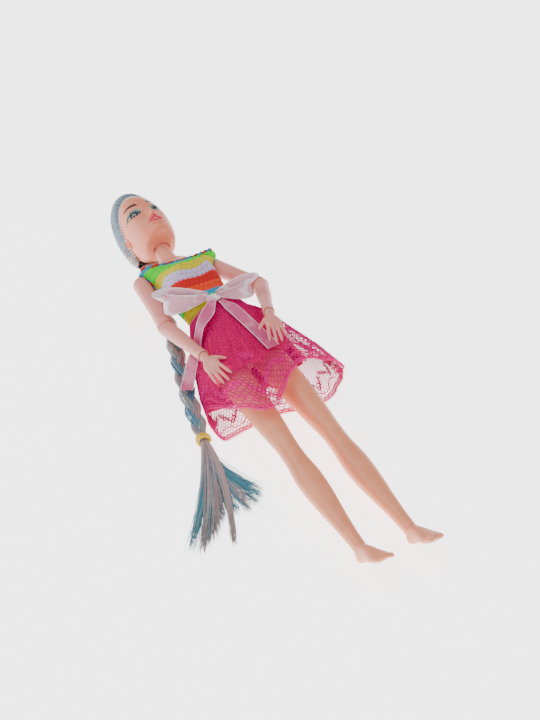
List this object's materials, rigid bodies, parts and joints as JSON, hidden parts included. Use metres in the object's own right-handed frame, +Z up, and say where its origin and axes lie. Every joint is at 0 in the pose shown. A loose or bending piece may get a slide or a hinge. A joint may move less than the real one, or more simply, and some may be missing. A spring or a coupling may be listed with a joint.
{
  "type": "jointed fashion doll",
  "caption": "Slim jointed doll with long braided hair, lying on its back in a striped knit and lace dress with a ribbon bow.",
  "frame": {"origin": "on the surface the doll lies on, under the pelvis, in the closure tape's lower face", "axes": "+X to the doll's left, +Y to the crown of the head, +Z up away from the surface"},
  "size_m": [0.1211, 0.3021, 0.0386],
  "materials": {
    "vinyl": "satin",
    "limb_plastic": "satin",
    "inner_plastic": "satin",
    "hair_fibre": "glossy fibre",
    "elastic_rubber": "matte",
    "knit": "matte",
    "knit_trim": "matte",
    "lining_cloth": "satin",
    "lace_cloth": "matte",
    "closure_tape": "matte",
    "satin": "satin"
  },
  "bodies": {
    "torso": {"torso_front": "limb_plastic", "torso_back": "limb_plastic", "neck_knob": "inner_plastic", "bodice": "knit", "neck_edging": "knit_trim", "skirt_lining": "lining_cloth", "skirt_lace": "lace_cloth", "back_closure": "closure_tape", "bow_knot": "satin", "bow_loop_right": "satin", "bow_loop_left": "satin", "bow_tail_right": "satin", "bow_tail_left": "satin", "nape_gather": "hair_fibre", "braid": "hair_fibre", "hair_elastic": "elastic_rubber", "braid_tail": "hair_fibre"},
    "head": {"head_shell": "vinyl", "hair_cap": "hair_fibre"},
    "shoulder_right": {"shoulder_peg_right": "inner_plastic"},
    "upper_arm_right": {"upper_arm_right": "limb_plastic", "shoulder_pin_right": "inner_plastic"},
    "elbow_right": {"elbow_peg_right": "inner_plastic"},
    "forearm_right": {"forearm_right": "limb_plastic", "elbow_pin_right": "inner_plastic"},
    "wrist_right": {"wrist_peg_right": "inner_plastic"},
    "hand_right": {"hand_right": "limb_plastic", "wrist_pin_right": "inner_plastic"},
    "hip_right": {"hip_peg_right": "inner_plastic"},
    "leg_right": {"leg_right": "vinyl", "hip_pin_right": "inner_plastic"},
    "shoulder_left": {"shoulder_peg_left": "inner_plastic"},
    "upper_arm_left": {"upper_arm_left": "limb_plastic", "shoulder_pin_left": "inner_plastic"},
    "elbow_left": {"elbow_peg_left": "inner_plastic"},
    "forearm_left": {"forearm_left": "limb_plastic", "elbow_pin_left": "inner_plastic"},
    "wrist_left": {"wrist_peg_left": "inner_plastic"},
    "hand_left": {"hand_left": "limb_plastic", "wrist_pin_left": "inner_plastic"},
    "hip_left": {"hip_peg_left": "inner_plastic"},
    "leg_left": {"leg_left": "vinyl", "hip_pin_left": "inner_plastic"}
  },
  "joints": [
    {"name": "head_turn", "type": "hinge", "parent": "torso", "child": "head", "pos_m": [0, 0.11301, 0.02212], "axis": [0, 0.9863, 0.165], "range_deg": [-40, 40], "deforming": ["nape_gather"]},
    {"name": "shoulder_raise_right", "type": "hinge", "parent": "torso", "child": "shoulder_right", "pos_m": [-0.0203, 0.08602, 0.0165], "axis": [-1, 0, 0], "range_deg": [-2.5, 80], "deforming": ["bodice", "bow_loop_right", "bow_tail_right"]},
    {"name": "shoulder_out_right", "type": "hinge", "parent": "shoulder_right", "child": "upper_arm_right", "pos_m": [-0.0203, 0.08602, 0.0165], "axis": [0, 0.0192, -0.9998], "range_deg": [-2, 60]},
    {"name": "elbow_swivel_right", "type": "hinge", "parent": "upper_arm_right", "child": "elbow_right", "pos_m": [-0.02397, 0.04489, 0.01571], "axis": [0.0889, 0.9959, 0.0191], "range_deg": [-60, 10]},
    {"name": "elbow_bend_right", "type": "hinge", "parent": "elbow_right", "child": "forearm_right", "pos_m": [-0.02397, 0.04489, 0.01571], "axis": [-0.8529, 0.0662, 0.5179], "range_deg": [-14, 38]},
    {"name": "wrist_turn_right", "type": "hinge", "parent": "forearm_right", "child": "wrist_right", "pos_m": [-0.0222, 0.00592, 0.02361], "axis": [-0.0446, 0.9791, -0.1985], "range_deg": [-60, 60]},
    {"name": "wrist_bend_right", "type": "hinge", "parent": "wrist_right", "child": "hand_right", "pos_m": [-0.0222, 0.00592, 0.02361], "axis": [0.8221, 0.1488, 0.5495], "range_deg": [-50, 12]},
    {"name": "hip_swing_right", "type": "hinge", "parent": "torso", "child": "hip_right", "pos_m": [-0.0108, 0.012, 0.0144], "axis": [-1, 0, 0], "range_deg": [0, 12], "deforming": ["skirt_lining", "skirt_lace", "braid"]},
    {"name": "hip_spread_right", "type": "hinge", "parent": "hip_right", "child": "leg_right", "pos_m": [-0.0108, 0.012, 0.0144], "axis": [0, 0.0593, -0.9982], "range_deg": [0, 12]},
    {"name": "shoulder_raise_left", "type": "hinge", "parent": "torso", "child": "shoulder_left", "pos_m": [0.0203, 0.08602, 0.0165], "axis": [-1, 0, 0], "range_deg": [-3, 80], "deforming": ["bow_loop_left", "bow_tail_left"]},
    {"name": "shoulder_out_left", "type": "hinge", "parent": "shoulder_left", "child": "upper_arm_left", "pos_m": [0.0203, 0.08602, 0.0165], "axis": [0, 0.1959, 0.9806], "range_deg": [-6, 60]},
    {"name": "elbow_swivel_left", "type": "hinge", "parent": "upper_arm_left", "child": "elbow_left", "pos_m": [0.02945, 0.04652, 0.02439], "axis": [-0.2215, 0.9562, -0.1911], "range_deg": [-8, 60]},
    {"name": "elbow_bend_left", "type": "hinge", "parent": "elbow_left", "child": "forearm_left", "pos_m": [0.02945, 0.04652, 0.02439], "axis": [-0.1256, -0.2223, -0.9669], "range_deg": [-32, 20]},
    {"name": "wrist_turn_left", "type": "hinge", "parent": "forearm_left", "child": "wrist_left", "pos_m": [0.0155, 0.01063, 0.03446], "axis": [0.3506, 0.9017, -0.2529], "range_deg": [-60, 60]},
    {"name": "wrist_bend_left", "type": "hinge", "parent": "wrist_left", "child": "hand_left", "pos_m": [0.0155, 0.01063, 0.03446], "axis": [0.9319, -0.3628, -0.0015], "range_deg": [-60, 18]},
    {"name": "hip_swing_left", "type": "hinge", "parent": "torso", "child": "hip_left", "pos_m": [0.0108, 0.012, 0.0144], "axis": [-1, 0, 0], "range_deg": [0, 15]},
    {"name": "hip_spread_left", "type": "hinge", "parent": "hip_left", "child": "leg_left", "pos_m": [0.0108, 0.012, 0.0144], "axis": [0, -0.0593, 0.9982], "range_deg": [0, 14]}
  ]
}
